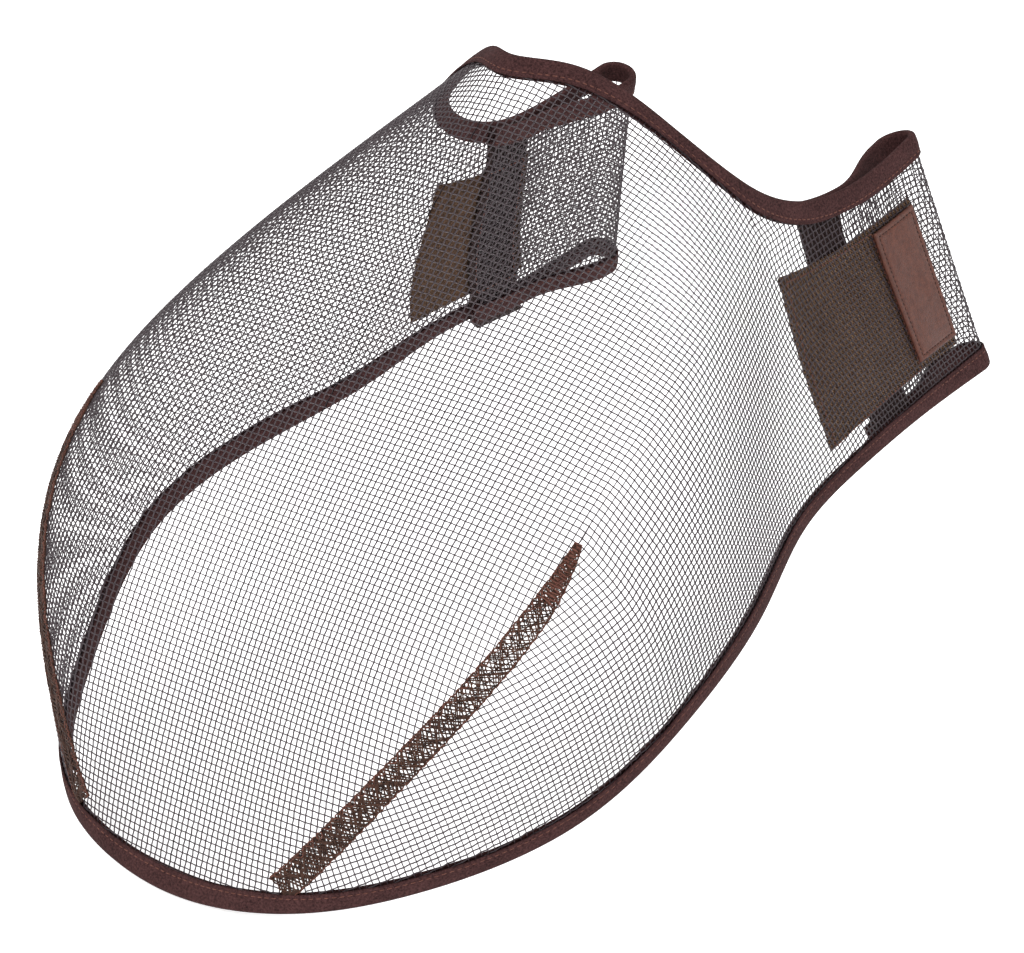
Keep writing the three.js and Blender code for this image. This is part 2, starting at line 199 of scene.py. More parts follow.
def tubes(points, normals, good, radius, sides=4):
    # a tube round each line of points: rings of points at equal angles round the line's direction
    step = np.diff(points, axis=1)
    joined = good[:, 1:] & good[:, :-1]
    step = np.where(joined[..., None], step, 0)
    along = np.zeros_like(points)
    along[:, :-1] += step
    along[:, 1:] += step
    along = unit(along)
    side = unit(np.cross(normals, along))
    lift = np.cross(along, side)
    turn = (np.arange(sides) + 0.5) * 2 * math.pi / sides
    radius = np.broadcast_to(np.asarray(radius, float), good.shape)[..., None, None]
    ring = side[:, :, None] * np.cos(turn)[:, None] + lift[:, :, None] * np.sin(turn)[:, None]
    verts = points[:, :, None] + ring * radius
    n = np.arange(verts.shape[0] * verts.shape[1] * sides).reshape(verts.shape[:3])
    nextSide = np.roll(n, -1, 2)
    quads = np.stack([n[:, :-1], nextSide[:, :-1], nextSide[:, 1:], n[:, 1:]], -1)[joined]
    return verts.reshape(-1, 3), quads.reshape(-1, 4)


def joinParts(parts):  # several pairs of points and quads as one
    points, quads, base = [], [], 0
    for p, q in parts:
        points.append(p)
        quads.append(q + base)
        base += len(p)
    return np.concatenate(points), np.concatenate(quads)


def withoutDoubles(points, quads):
    # leaves out faces that lie exactly on another
    _, place = np.unique(np.round(points, 3), axis=0, return_inverse=True)
    _, first = np.unique(np.sort(place.reshape(-1)[quads], 1), axis=0, return_index=True)
    return points, quads[np.sort(first)]


def mirrorX(points):  # the right side is the left with x turned over
    return points * (-1, 1, 1)


def newGroup(name, inputs, outputs):  # a shared effect with named sockets
    group = bpy.data.node_groups.new(name, "ShaderNodeTree")
    for label, kind, value in inputs:
        socket = group.interface.new_socket(name=label, in_out="INPUT", socket_type="NodeSocket" + kind)
        socket.default_value = value
    for label, kind in outputs:
        group.interface.new_socket(name=label, in_out="OUTPUT", socket_type="NodeSocket" + kind)
    return group, group.nodes.new("NodeGroupInput"), group.nodes.new("NodeGroupOutput")


def addNode(tree, kind, settings=None, **inputs):  # i0, i1 are sockets by number
    node = tree.nodes.new(kind)
    for key, value in (settings or {}).items():
        setattr(node, key, value)
    for key, value in inputs.items():
        socket = node.inputs[int(key[1:])] if key[1:].isdigit() else node.inputs[key]
        if isinstance(value, bpy.types.NodeSocket):
            tree.links.new(value, socket)
        else:
            socket.default_value = value
    return node


def mixColour(tree, factor, first, second, blend="MIX"):
    return addNode(tree, "ShaderNodeMix", {"data_type": "RGBA", "blend_type": blend},
                   i0=factor, i6=first, i7=second).outputs[2]


def fibreGroup():
    # fine fibres: two sizes of noise pick between a dark and a light colour and lift the surface
    g, i, o = newGroup("fibre",
                       [("Dark", "Color", (0.03, 0.02, 0.02, 1)), ("Light", "Color", (0.1, 0.07, 0.06, 1)),
                        ("Fineness", "Float", 900.0), ("Patches", "Float", 40.0), ("Contrast", "Float", 1.0)],
                       [("Color", "Color"), ("Height", "Float"), ("Mask", "Float")])
    where = g.nodes.new("ShaderNodeTexCoord").outputs["Object"]
    fine = addNode(g, "ShaderNodeTexNoise", Vector=where, Scale=i.outputs["Fineness"], Detail=4.0, Roughness=0.7)
    broad = addNode(g, "ShaderNodeTexNoise", Vector=where, Scale=i.outputs["Patches"], Detail=2.0)
    centred = addNode(g, "ShaderNodeMath", {"operation": "SUBTRACT"}, i0=fine.outputs[0], i1=0.5)
    spread = addNode(g, "ShaderNodeMath", {"operation": "MULTIPLY_ADD"},
                     i0=centred.outputs[0], i1=i.outputs["Contrast"], i2=0.22)
    both = addNode(g, "ShaderNodeMath", {"operation": "MULTIPLY_ADD", "use_clamp": True},
                   i0=broad.outputs[0], i1=0.45, i2=spread.outputs[0])
    g.links.new(mixColour(g, both.outputs[0], i.outputs["Dark"], i.outputs["Light"]), o.inputs["Color"])
    g.links.new(fine.outputs[0], o.inputs["Height"])
    g.links.new(broad.outputs[0], o.inputs["Mask"])
    return g


def weaveGroup():
    # over-and-under yarns in the piece's own millimetre coordinates: a product of two sines
    g, i, o = newGroup("weave", [("Across", "Float", 3.0), ("Along", "Float", 3.0)],
                       [("Mask", "Float"), ("Height", "Float")])
    where = g.nodes.new("ShaderNodeUVMap").outputs[0]
    split = addNode(g, "ShaderNodeSeparateXYZ", Vector=where)
    wobble = addNode(g, "ShaderNodeTexNoise", Vector=where, Scale=0.35, Detail=2.0)
    waves = []
    for axis, label in ((0, "Across"), (1, "Along")):
        turns = addNode(g, "ShaderNodeMath", {"operation": "MULTIPLY"}, i0=split.outputs[axis], i1=i.outputs[label])
        shift = addNode(g, "ShaderNodeMath", {"operation": "MULTIPLY_ADD"},
                        i0=wobble.outputs[0], i1=1.6, i2=turns.outputs[0])
        waves.append(addNode(g, "ShaderNodeMath", {"operation": "SINE"}, i0=shift.outputs[0]).outputs[0])
    product = addNode(g, "ShaderNodeMath", {"operation": "MULTIPLY"}, i0=waves[0], i1=waves[1])
    # this mask is used as painted light and shade: high on the yarn tops, low between them
    mask = addNode(g, "ShaderNodeMath", {"operation": "MULTIPLY_ADD", "use_clamp": True},
                   i0=product.outputs[0], i1=0.9, i2=0.45)
    g.links.new(mask.outputs[0], o.inputs["Mask"])
    g.links.new(product.outputs[0], o.inputs["Height"])
    return g


fibre, weave = fibreGroup(), weaveGroup()


def newMaterial(name, roughness, specular=0.12):
    material = bpy.data.materials.new(name)
    material.use_nodes = True
    shader = material.node_tree.nodes["Principled BSDF"]
    shader.inputs["Roughness"].default_value = roughness
    shader.inputs["Specular IOR Level"].default_value = specular
    return material, material.node_tree, shader


def placeGroup(tree, group, **values):  # one use of a shared effect, with its own values
    node = tree.nodes.new("ShaderNodeGroup")
    node.node_tree = group
    for socket, value in values.items():
        node.inputs[socket].default_value = value
    return node


def addBump(tree, shader, height, strength, distance):
    bump = addNode(tree, "ShaderNodeBump", Height=height, Strength=strength, Distance=distance)
    tree.links.new(bump.outputs[0], shader.inputs["Normal"])


def fibreNodes(look):  # a material and its fibres, from a row of the looks table
    material, tree, shader = newMaterial(look["name"], look["roughness"], look.get("specular", 0.12))
    node = placeGroup(tree, fibre, Dark=(*look["dark"], 1), Light=(*look["light"], 1), Fineness=look["fineness"],
                      Patches=look["patches"], Contrast=look["contrast"])
    return material, tree, shader, node


def fibreMaterial(look):  # fibres coloured and raised by the same noise
    material, tree, shader, node = fibreNodes(look)
    tree.links.new(node.outputs["Color"], shader.inputs["Base Color"])
    addBump(tree, shader, node.outputs["Height"], look["bump"], 0.0006)
    return material


def weaveMaterial(look):  # fibres with painted shade between the yarns and painted light on the yarn tops; fibres and yarns both raise the surface
    material, tree, shader, node = fibreNodes(look)
    woven = placeGroup(tree, weave, Across=look["across"], Along=look["along"])
    # painted light and shade: the weave's mask darkens the colour between the yarns and lightens it on their tops
    shade = mixColour(tree, woven.outputs["Mask"], (0.16, 0.13, 0.13, 1), (1.9, 1.85, 1.8, 1))
    colour = mixColour(tree, 1.0, node.outputs["Color"], shade, "MULTIPLY")
    tree.links.new(colour, shader.inputs["Base Color"])
    height = addNode(tree, "ShaderNodeMath", {"operation": "MULTIPLY_ADD"}, i0=woven.outputs["Height"], i1=0.5,
                     i2=node.outputs["Height"])
    addBump(tree, shader, height.outputs[0], look["bump"], 0.0008)
    return material


def leatherMaterial(look):  # small rounded pebbles between fine creases, with painted shade darkening the creases
    material, tree, shader, node = fibreNodes(look)
    where = tree.nodes.new("ShaderNodeTexCoord").outputs["Object"]
    pebble = addNode(tree, "ShaderNodeTexVoronoi", {"feature": "DISTANCE_TO_EDGE"}, Vector=where, Scale=900.0)
    crease = addNode(tree, "ShaderNodeMapRange", i0=pebble.outputs[0], i1=0.0, i2=0.12)
    # painted shade: the creases are darkened as if shade fell in them
    shade = mixColour(tree, crease.outputs[0], (0.62, 0.58, 0.56, 1), (1, 1, 1, 1))
    colour = mixColour(tree, 1.0, node.outputs["Color"], shade, "MULTIPLY")
    tree.links.new(colour, shader.inputs["Base Color"])
    rough = addNode(tree, "ShaderNodeMapRange", i0=node.outputs["Mask"], i1=0.3, i2=0.7, i3=0.42, i4=0.62)
    tree.links.new(rough.outputs[0], shader.inputs["Roughness"])
    addBump(tree, shader, crease.outputs[0], look["bump"], 0.0003)
    return material


looks = {  # colours are linear; fineness and patches are noise scales per metre, across and along per millimetre
    "net": {"name": "netYarn", "dark": (0.020, 0.013, 0.016), "light": (0.065, 0.046, 0.053), "fineness": 700.0,
            "patches": 25.0, "contrast": 1.5, "bump": 0.15, "roughness": 0.4, "specular": 0.3},
    "binding": {"name": "bindingFelt", "dark": (0.016, 0.0058, 0.006), "light": (0.080, 0.034, 0.033),
                "fineness": 1100.0, "patches": 70.0, "contrast": 2.6, "bump": 1.0, "roughness": 0.95},
    "thread": {"name": "seamThread", "dark": (0.060, 0.020, 0.015), "light": (0.19, 0.080, 0.058),
               "fineness": 1200.0, "patches": 90.0, "contrast": 1.5, "bump": 0.3, "roughness": 0.6},
    "dart": {"name": "dartYarn", "dark": (0.012, 0.006, 0.005), "light": (0.085, 0.040, 0.026), "fineness": 500.0,
             "patches": 60.0, "contrast": 2.4, "bump": 0.3, "roughness": 0.6},
    "loopBack": {"name": "loopBacking", "dark": (0.032, 0.015, 0.010), "light": (0.235, 0.150, 0.095),
                 "fineness": 1100.0, "patches": 60.0, "contrast": 2.4, "bump": 0.6, "roughness": 0.85,
                 "across": 4.2, "along": 4.2},
    "loopPile": {"name": "loopPile", "dark": (0.012, 0.006, 0.004), "light": (0.115, 0.064, 0.038),
                 "fineness": 1000.0, "patches": 80.0, "contrast": 3.0, "bump": 1.0, "roughness": 0.95},
    "hook": {"name": "hookTape", "dark": (0.012, 0.006, 0.006), "light": (0.050, 0.030, 0.028), "fineness": 1300.0,
             "patches": 60.0, "contrast": 2.4, "bump": 0.8, "roughness": 0.7, "across": 5.2, "along": 3.1},
    "leather": {"name": "labelLeather", "dark": (0.056, 0.016, 0.010), "light": (0.122, 0.039, 0.023),
                "fineness": 420.0, "patches": 60.0, "contrast": 2.2, "bump": 0.35, "roughness": 0.5, "specular": 0.3},
    "labelThread": {"name": "labelThread", "dark": (0.012, 0.006, 0.005), "light": (0.05, 0.026, 0.02),
                    "fineness": 1200.0, "patches": 90.0, "contrast": 1.0, "bump": 0.3, "roughness": 0.6},
}
makers = {"loopBack": weaveMaterial, "hook": weaveMaterial, "leather": leatherMaterial}
finish = {name: makers.get(name, fibreMaterial)(look) for name, look in looks.items()}
print("materials made")

net = {"tip": (2.24, 0.52), "knotSpacing": 11.0, "fine": 4, "yarnRadius": 0.285, "wave": 0.20, "rowsUp": 50,
       "rowsDown": 34, "columns": 60, "kink": 15.0, "rowPastTip": 24, "rearRows": 18, "rearColumn": 5,
       "edgeHidden": 4.0, "dartLap": 0.07, "bandFrom": 5.0, "bandColumnAt": 0.5,
       "dartHeight": (0.40, 0.52, 0.65, 0.77, 0.89, 0.948, 1.0, 1.4),
       "dartStation": (2.24, 2.24, 2.0, 1.63, 1.27, 1.05, 0.86, -0.6)}


def solveOnCloth(uv, target):  # nearest point of the cloth, by Newton steps in its own coordinates
    for _ in range(6):
        p, pu, pv = clothPatch(uv[0], uv[1])
        r = target - p
        a, b, c, ra, rb = pu @ pu, pu @ pv, pv @ pv, r @ pu, r @ pv
        uv = uv + np.array([ra * c - rb * b, rb * a - ra * b]) / (a * c - b * b)
    return uv


def straightThread(start, direction, step, count):
    # a thread laid straight on the cloth: each point carries on from the last two
    here = np.array(start, float)
    p = clothPatch(*here)[0]
    before = p - unit(direction) * step
    found = [here]
    for _ in range(count):
        guess = solveOnCloth(here, 2 * p - before)
        onward = clothPatch(*guess)[0]
        here = solveOnCloth(guess, p + unit(onward - p) * step)
        before, p = p, clothPatch(*here)[0]
        found.append(here)
    return np.array(found)


def crossing(a, b, guess, step):  # the point of the cloth one step from both a and b
    uv = guess.copy()
    for _ in range(9):
        p, pu, pv = clothPatch(uv[:, 0], uv[:, 1])
        da, db = p - a, p - b
        fa, fb = (da * da).sum(-1) - step**2, (db * db).sum(-1) - step**2
        m0, m1, m2, m3 = [2 * (x * y).sum(-1) for x, y in ((da, pu), (da, pv), (db, pu), (db, pv))]
        det = m0 * m3 - m1 * m2
        det = np.where(np.abs(det) < 1e-6, 1e-6, det)
        uv = uv - np.stack([np.clip((m3 * fa - m1 * fb) / det, -0.3, 0.3),
                            np.clip((m0 * fb - m2 * fa) / det, -0.1, 0.1)], -1)
    p = clothPatch(uv[:, 0], uv[:, 1])[0]
    miss = np.abs(np.linalg.norm(p - a, axis=-1) - step) + np.abs(np.linalg.norm(p - b, axis=-1) - step)
    return uv, miss


def spreadNet(uv, step, usable, allowed):
    # a net of equal meshes laid on the cloth: each round adds the knots that have two known
    # neighbours and the knot between those
    n, m = uv.shape[:2]
    for _ in range(160):
        known = np.isfinite(uv[..., 0]) & usable(np.nan_to_num(uv, nan=9e9))
        best, missed = np.full(uv.shape, np.nan), np.full((n, m), 1e9)
        for di, dj in ((-1, -1), (-1, 1), (1, -1), (1, 1)):
            i, j = np.nonzero(~np.isfinite(uv[..., 0]) & allowed)
            ok = (i + di >= 0) & (i + di < n) & (j + dj >= 0) & (j + dj < m)
            i, j = i[ok], j[ok]
            ok = known[i + di, j] & known[i, j + dj] & known[i + di, j + dj]
            i, j = i[ok], j[ok]
            if len(i) == 0:
                continue
            a, b, c = uv[i + di, j], uv[i, j + dj], uv[i + di, j + dj]
            new, miss = crossing(clothPatch(a[:, 0], a[:, 1])[0], clothPatch(b[:, 0], b[:, 1])[0], a + b - c, step)
            good = (miss < 0.3) & (miss < missed[i, j])
            best[i[good], j[good]] = new[good]
            missed[i[good], j[good]] = miss[good]
        got = np.isfinite(best[..., 0])
        if not got.any():
            return uv
        uv[got] = best[got]
    return uv


def pastDart(uv):  # how far a point lies to the rear of the dart line, in stations
    return uv[..., 0] - np.interp(uv[..., 1], net["dartHeight"], net["dartStation"])


def onCloth(uv, top=0.12, bottom=0.5):  # room for knots past the edges, in v
    return (uv[..., 1] > -top) & (uv[..., 1] < 1 + bottom) & (uv[..., 0] < 12.3) & (uv[..., 0] > -0.6)


def layNet():
    # returns two sets of knots: one in front of the dart, one behind it and along the band
    tip, across = net["tip"], np.array([1.0, 0, 0])
    low, high = 0.35, 0.6
    for _ in range(22):  # aim the first cross thread so that it meets the tip of the dart
        middle = (low + high) / 2
        path = straightThread((0, middle), across, net["knotSpacing"], 15)
        if np.interp(tip[0], path[:, 0], path[:, 1]) > tip[1]:
            high = middle
        else:
            low = middle
    knots = clothPatch(path[:, 0], path[:, 1])[0]
    run = np.concatenate([[0], np.cumsum(np.linalg.norm(np.diff(knots, axis=0), axis=1))])
    length = np.interp(tip[0], path[:, 0], run)
    tipColumn = int(round(length / net["knotSpacing"]))
    step = length / tipColumn
    down = net["rowsDown"]
    n, m = down + net["rowsUp"] + 1, net["columns"]
    front = np.full((n, m, 2), np.nan)
    slope = clothPatch(0.0, middle)[2]
    front[down:, 0] = straightThread((0, middle), -slope, step, net["rowsUp"])
    front[:down + 1, 0] = straightThread((0, middle), slope, step, down)[::-1]
    first = straightThread((0, middle), across, step, tipColumn)
    front[down, :tipColumn + 1] = first
    p, pu, pv = clothPatch(*first[-1])
    normal = unit(np.cross(pv, pu))
    ahead = p - clothPatch(*first[-2])[0]
    ahead = unit(ahead - normal * (ahead @ normal))
    side = unit(np.cross(normal, ahead))
    side = side if side @ pv < 0 else -side
    kink = math.radians(net["kink"])
    bent, more = ahead * math.cos(kink) - side * math.sin(kink), net["rowPastTip"]
    front[down, tipColumn:tipColumn + more + 1] = straightThread(first[-1], bent, step, more)
    below = (np.arange(n) < down)[:, None]
    inFront = lambda uv: onCloth(uv) & (~below | (pastDart(uv) < 0.4))
    front = spreadNet(front, step, inFront, np.ones((n, m), bool))
    # the row that first reaches the middle of the band starts the band's own threads
    inBand = np.isfinite(front[..., 0]) & (np.abs(front[..., 1] - net["bandColumnAt"]) < 0.06) & (front[..., 0] < 7.3)
    row = max(r for r in range(down + 1, n) if inBand[r].any())
    column = int(np.nonzero(inBand[row])[0][0])
    rear = front.copy()
    rear[row + 1:] = np.nan
    rear[row] = np.where(front[row, :, :1] > net["bandFrom"], front[row], np.nan)
    here = front[row, column].copy()
    for r in range(row + 1, n):
        p = clothPatch(*here)[0]
        onward = here + (step / np.linalg.norm(clothPatch(*here)[1]), 0)
        for _ in range(4):
            q, qu, _ = clothPatch(*onward)
            onward = onward + ((step - np.linalg.norm(q - p)) / np.linalg.norm(qu), 0)
        rear[r, column] = onward
        here = onward
    allowed = np.zeros((n, m), bool)
    allowed[row + 1:] = True
    rear = spreadNet(rear, step, lambda x: onCloth(x, 0.25), allowed)
    rear[row] = front[row]
    # behind the dart the threads start again, square to the kinked cross thread
    rear[:down] = np.nan
    guide, rows = tipColumn + net["rearColumn"], net["rearRows"]
    start = rear[down, guide]
    p, pu, pv = clothPatch(*start)
    ahead = clothPatch(*rear[down, guide + 1])[0] - clothPatch(*rear[down, guide - 1])[0]
    side = unit(np.cross(unit(np.cross(pv, pu)), ahead))
    side = side if side @ pv > 0 else -side
    rear[down - rows:down + 1, guide] = straightThread(start, side, step, rows)[::-1]
    above = rear[down + 1:].copy()
    keepFront = rear[down, :tipColumn].copy()
    rear[down + 1:] = np.nan
    rear[down, :tipColumn] = np.nan
    allowed[:] = False
    allowed[:down] = True
    rear = spreadNet(rear, step, lambda x: onCloth(x) & (pastDart(x) > -0.4), allowed)
    rear[down + 1:] = above
    rear[down, :tipColumn] = keepFront
    return front, rear, tipColumn, row


def refine(a, axis, n):
    # puts n - 1 knots between each two, on a cubic through four where there are four
    a = np.moveaxis(a, axis, 0)
    gap = np.full((1,) + a.shape[1:], np.nan)
    b = np.concatenate([gap, a, gap])
    p0, p1, p2, p3 = b[:-3], b[1:-2], b[2:-1], b[3:]
    out = np.full(((len(a) - 1) * n + 1,) + a.shape[1:], np.nan)
    out[::n] = a
    for k in range(1, n):
        t = k / n
        cubic = 0.5 * (2*p1 + (p2 - p0)*t + (2*p0 - 5*p1 + 4*p2 - p3)*t*t + (3*p1 - p0 - 3*p2 + p3)*t**3)
        straight = p1 + (p2 - p1) * t
        out[k::n] = np.where(np.isfinite(cubic), cubic, straight)
    return np.moveaxis(out, 0, axis)


def roundFold(uv):
    # past the last station a straight run of cloth goes round the fold and along the flap
    u, v = uv[..., 0], uv[..., 1]
    edge, pu, pv = clothPatch(np.full(u.shape, 9.0), np.clip(v, 0, 1))
    _, downward, rearward = clothFrame(np.full(u.shape, 9.0), np.clip(v, 0, 1))
    past = np.maximum(u - 9, 0)[..., None] * pu
    s = (past * rearward).sum(-1)
    v = v + (past * downward).sum(-1) / np.linalg.norm(pv, axis=-1)
    arc = math.pi * cloth["foldRadius"]
    g = np.where(s < arc, 9 + 2 * s / arc, 11 + (s - arc) / cloth["flapLength"])
    return np.where(u <= 9, u, g), v


def netThreads():
    # yarns through the knots of both sets: the cloth's point at a height that goes up and down
    # from one crossing to the next, cut where the binding hides them and split at the folds
    front, rear, tipColumn, bandRow = layNet()
    fine = net["fine"]
    parts = {"body": [], "fold": [], "flap": []}
    for number, knots in enumerate((front, rear)):
        uv = refine(refine(knots, 0, fine), 1, fine)
        rows = np.arange(uv.shape[0])[:, None] / fine + np.zeros((1, uv.shape[1]))
        cols = np.arange(uv.shape[1])[None] / fine + np.zeros((uv.shape[0], 1))
        known = np.isfinite(uv[..., 0])
        uv = np.where(known[..., None], uv, 0.0)
        g, v = roundFold(uv)
        belowTip, past = rows < net["rowsDown"], pastDart(uv)
        if number == 0:
            mine = ~belowTip & ((cols <= tipColumn) | ((rows >= bandRow) & (uv[..., 0] < 5.5)))
            mine |= belowTip & (past < net["dartLap"])
            mine &= (rows <= bandRow) | (uv[..., 0] < 5.5)
        else:
            mine = (~belowTip & (cols >= tipColumn) & (rows <= bandRow)) | (rows >= bandRow) & (uv[..., 0] > 4.9)
            mine |= belowTip & (past > -net["dartLap"])
        lowV = net["edgeHidden"] / edgeHeight(np.clip(g, 0, 12), 0.0)
        highV = 1 - net["edgeHidden"] / edgeHeight(np.clip(g, 0, 12), 1.0)
        mine &= known & (v > lowV) & (v < highV) & (g < 11.965) & (g > -0.05)
        parity = 1 - 2 * ((np.arange(uv.shape[0])[:, None] + np.arange(uv.shape[1])[None]) % 2)
        for direction, sign in enumerate((1, -1)):
            height = net["wave"] * parity * sign
            centre = clothPoint(np.clip(g, 0, 12), v, height)
            above = clothPoint(np.clip(g, 0, 12), v, height + 0.5)
            normal = unit(above - centre)
            lines = (centre, normal, mine, g)
            if direction == 0:
                lines = tuple(np.swapaxes(x, 0, 1) for x in lines)
            p, normal, good, station = lines
            for where, lower, upper in (("body", -1, 9), ("fold", 9, 11), ("flap", 11, 13)):
                near = good & (station <= upper + 0.001) & (station >= lower - 0.001)
                # a thread that crosses into the next part is carried one knot further
                reach = near.copy()
                if where != "body":
                    before = good & (station < lower)
                    reach[:, 1:] |= near[:, :-1] & before[:, 1:]
                    reach[:, :-1] |= near[:, 1:] & before[:, :-1]
                use = reach.any(1)
                parts[where].append(tubes(p[use], normal[use], reach[use], net["yarnRadius"]))
    return {k: withoutDoubles(*joinParts(v)) for k, v in parts.items()}


threads = netThreads()
print("net threads laid", {k: len(q) for k, (p, q) in threads.items()})

pieces = {}
for side in ("left", "right"):
    for where, label in (("body", "NetHalf"), ("fold", "FoldNet"), ("flap", "FlapNet")):
        points, quads = threads[where]
        points = points if side == "left" else mirrorX(points)
        pieces[side + label] = makeMesh(side + label, points, quads, finish["net"], flip=side == "right")

tape = {"width": 10.0, "outside": 1.6, "inside": 0.75, "step": 1.0, "pitch": 3.1, "stitchAt": 8.0,
        "pinch": 0.12, "ripple": 0.16, "puff": 0.22, "wander": 0.35, "sunk": 0.12}


def tapeOutline(points=10):
    # cross-section of the folded tape: an outer line round the fold, rounded free edges,
    # and an inner line back
    w, out, inn = tape["width"], tape["outside"], tape["inside"]
    turn = np.linspace(0, math.pi, points)
    flat = np.linspace(w - 0.5, out + 0.8, 6)
    outer = [np.stack([flat, np.full(6, out)], 1),
             np.stack([out - np.sin(turn) * out, np.cos(turn) * out], 1),
             np.stack([flat[::-1], np.full(6, -out)], 1)]
    end = np.array([[w, -out + 0.35], [w - 0.1, -inn]])
    back = [end, np.stack([np.linspace(w - 2, out, 3), np.full(3, -inn)], 1),
            np.stack([np.linspace(out, w - 2, 3), np.full(3, inn)], 1), end[::-1] * (1, -1)]
    return np.concatenate(outer + back)


def runAlong(points):  # length walked up to each of a row of points
    return np.concatenate([[0], np.cumsum(np.linalg.norm(np.diff(points, axis=0), axis=1))])


def edgeRun(edge, first, last):  # stations along an edge, and the length walked along the stitching
    g = np.linspace(first, last, 1200)
    return g, runAlong(edgePoint(g, edge, tape["stitchAt"], 0.0))


def bindingTape(name, edge, first, last, side, both=False):
    # the outline swept along an edge: bell curves press it in at the stitching, deeper at each
    # stitch, and puff it between; slow waves move its free edges
    fine, run = edgeRun(edge, first, last)
    s = np.linspace(0, run[-1], max(2, int(round(run[-1] / tape["step"]))) + 1)
    g = np.interp(s, run, fine)
    section = tapeOutline()
    w, h = [section[:, k][None] + np.zeros((len(g), 1)) for k in (0, 1)]
    pinch = np.exp(-((w - tape["stitchAt"]) / 0.9)**2)
    puff = np.exp(-((w - 4.5) / 2.4)**2)
    beat = 0.5 + 0.5 * np.cos(2 * math.pi * s / tape["pitch"])[:, None]
    wander = np.sin(s / 17.0 + 2 * edge) * 0.5 + np.sin(s / 6.3 + 1.3) * 0.3
    outer = np.abs(h) > tape["inside"] + 0.1
    h = h + np.sign(h) * outer * (tape["puff"] * puff - (tape["pinch"] + tape["ripple"] * beat) * pinch)
    w = w + (w > 7) * wander[:, None] * tape["wander"]
    points = edgePoint(g[:, None] + 0 * w, edge, w, h)
    if both:  # one tape from fold to fold, across the midline
        points = np.concatenate([mirrorX(points[:0:-1]), points])
    ring, n = np.arange(len(section)), len(points)
    quads = np.concatenate([gridQuads(n, len(section), True), capQuads(ring)[:, ::-1],
                            capQuads(ring + (n - 1) * len(section))])
    points = points if side == "left" else mirrorX(points)
    return makeMesh(name, points, quads, finish["binding"], flip=(side == "left") != (edge > 0.5))


def stitches(name, place, count, length, material, side, width=0.55, height=0.4, both=False, flip=False):
    # short sunk threads, each five elliptic rings of six points; place(s, w, t) gives a point at
    # s stitches along, w to the side and t up
    along = np.array([-0.5, -0.36, 0.0, 0.36, 0.5])
    size = np.array([0.15, 0.85, 1.0, 0.85, 0.15])
    turn = (np.arange(6) + 0.5) * math.pi / 3
    s = (np.arange(count) + 0.5)[:, None, None] + (along * length)[None, :, None] + np.zeros((1, 1, 6))
    w = (size[:, None] * np.cos(turn) * width / 2)[None] + np.zeros((count, 1, 1))
    t = (size[:, None] * np.sin(turn) * height / 2)[None] + np.zeros((count, 1, 1))
    points = place(s, w, t)
    n = np.arange(count * 30).reshape(count, 5, 6)
    around = np.roll(n, -1, 2)
    quads = np.stack([n[:, :-1], around[:, :-1], around[:, 1:], n[:, 1:]], -1).reshape(-1, 4)
    caps = [np.stack([n[:, k, a], n[:, k, b], n[:, k, c], n[:, k, d]], -1)
            for k, order in ((0, 1), (4, -1)) for a, b, c, d in ((0, 5, 4, 1)[::order], (1, 4, 3, 2)[::order])]
    quads = np.concatenate([quads] + caps)
    if both:
        flat = points.reshape(-1, 3)
        quads = np.concatenate([quads, quads[:, ::-1] + len(flat)])
        points = np.concatenate([flat, mirrorX(flat)])
    points = points if side == "left" else mirrorX(points)
    return makeMesh(name, points, quads, material, flip=(side == "right") != flip)


def bindingStitches(name, edge, first, last, side, both=False):
    # stitches at even lengths along an edge, just sunk in the tape
    g, run = edgeRun(edge, first, last)
    count = max(2, int(run[-1] / tape["pitch"]))

    def place(s, w, t):
        station = np.interp(s * run[-1] / count, run, g)
        return edgePoint(station, edge, tape["stitchAt"] + w, tape["outside"] - tape["sunk"] + t)

    return stitches(name, place, count, 0.66, finish["thread"], side, both=both, flip=edge < 0.5)


def sewBinding(start, edge, first, last, side, both=False):  # one stretch of tape and its stitches
    pieces[start + "Binding"] = bindingTape(start + "Binding", edge, first, last, side, both)
    pieces[start + "Stitch"] = bindingStitches(start + "Stitch", edge, first, last, side, both)


for long, word, edge in (("brow", "Top", 0.0), ("nose", "Bottom", 1.0)):
    sewBinding(long, edge, 0.0, 9.0, "left", both=True)
    for side in ("left", "right"):
        sewBinding(side + "Fold" + word, edge, 9.0, 11.0, side)
        sewBinding(side + "Flap" + word, edge, 11.0, 12.0, side)
print("bindings sewn")


